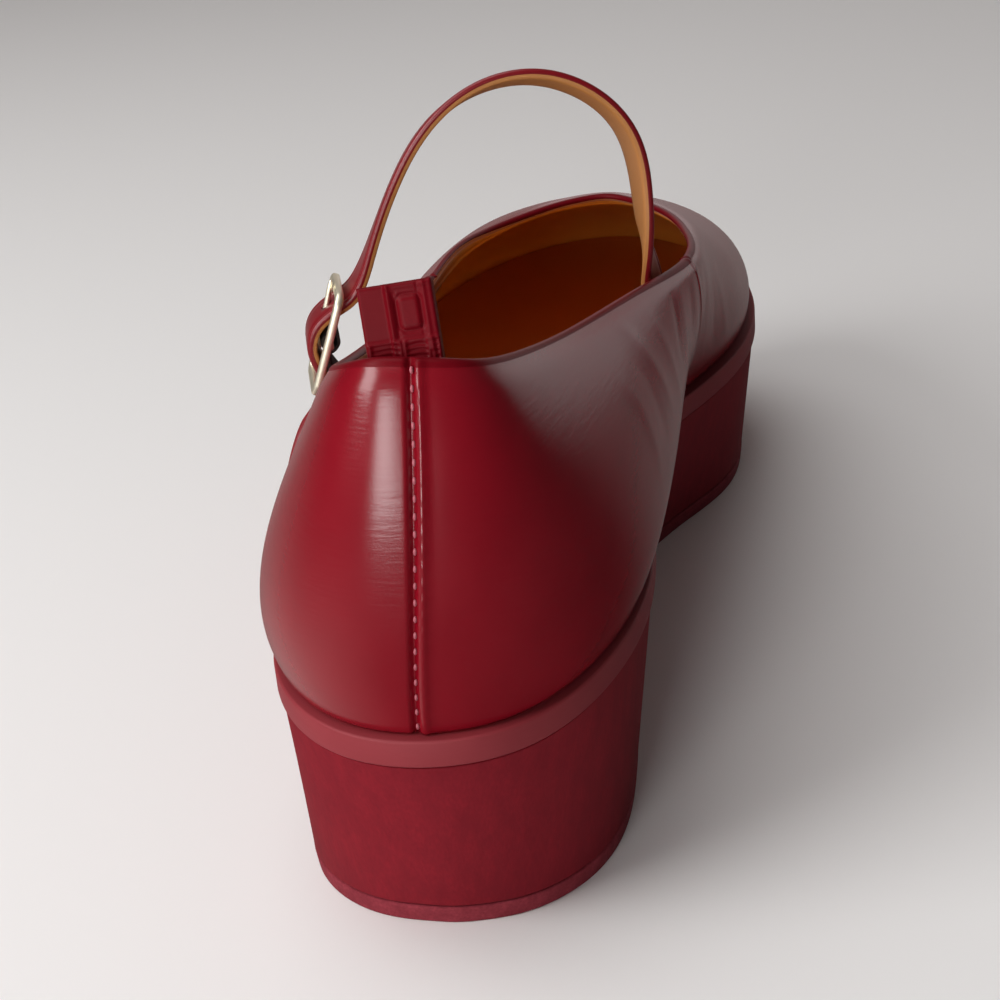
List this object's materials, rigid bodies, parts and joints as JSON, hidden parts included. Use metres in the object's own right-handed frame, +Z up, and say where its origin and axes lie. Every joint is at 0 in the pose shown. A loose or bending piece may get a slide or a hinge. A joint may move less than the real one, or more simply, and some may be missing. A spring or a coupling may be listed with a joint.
{
  "type": "mary jane shoe",
  "caption": "Left mary jane shoe with a low rounded toe, a thick platform sole with a welt, a narrow ankle strap with a small buckle on the outer side and a pull tab at the back.",
  "frame": {"origin": "centre of the tread's flat spot under the heel, on the floor", "axes": "+Z up; +Y from the heel to the toe; +X toward the inner side of the left foot, so the buckle is on the -X side"},
  "size_m": [0.0904, 0.2524, 0.1299],
  "materials": {
    "tread": "matte pinkish dark red",
    "platform": "brushed, matte dark red",
    "welt": "matte dusty red",
    "insole": "tan lining leather, slightly worn",
    "upper": "smooth semi-gloss burgundy, tan lining",
    "pull_tab": "smooth semi-gloss burgundy",
    "strap": "semi-gloss burgundy, tan underside",
    "buckle_frame": "polished pale gold",
    "buckle_prong": "polished pale gold",
    "buckle_anchor": "dark woven elastic"
  },
  "bodies": {
    "root": {"tread": "tread", "platform": "platform", "welt": "welt", "insole": "insole", "upper": "upper", "pull_tab": "pull_tab", "strap": "strap", "buckle_frame": "buckle_frame", "buckle_prong": "buckle_prong", "buckle_anchor": "buckle_anchor"}
  },
  "joints": []
}
